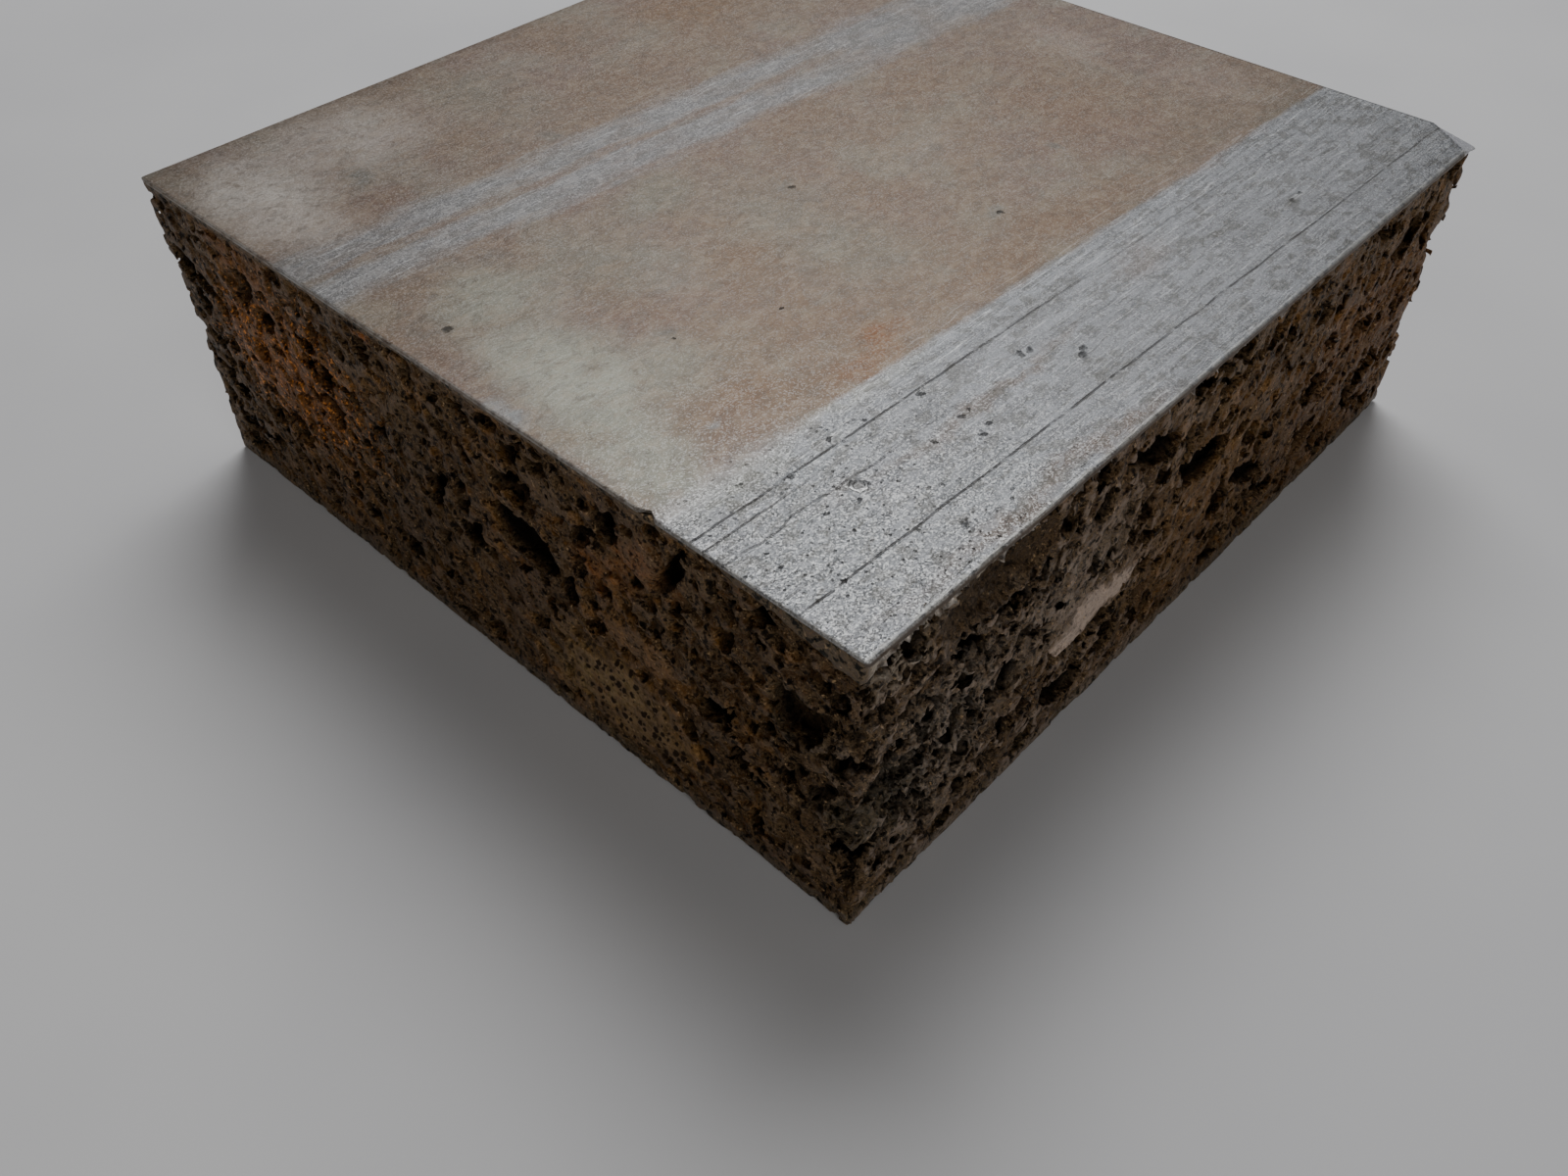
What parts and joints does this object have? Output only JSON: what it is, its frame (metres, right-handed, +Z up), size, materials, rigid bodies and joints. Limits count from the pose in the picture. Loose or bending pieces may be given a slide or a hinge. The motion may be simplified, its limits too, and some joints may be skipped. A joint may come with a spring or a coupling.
{
  "type": "closed-cell aluminium foam block",
  "caption": "Sawn block of closed-cell aluminium foam with a dense cast skin above and below, open cells on its sawn sides and mould lines on top.",
  "frame": {"origin": "middle of the underside that the block rests on", "axes": "+Y along the mould lines and the longer side, +X across them towards the wide pale band and the rounded lip, +Z up through the cast skin with the mould lines"},
  "size_m": [0.14, 0.144, 0.05],
  "materials": {
    "sawn_foam": "sawn, dark brown-grey, matt",
    "cast_skin": "as cast, dull grey with heat tint"
  },
  "bodies": {
    "root": {"foam_block": "sawn_foam"}
  },
  "joints": []
}
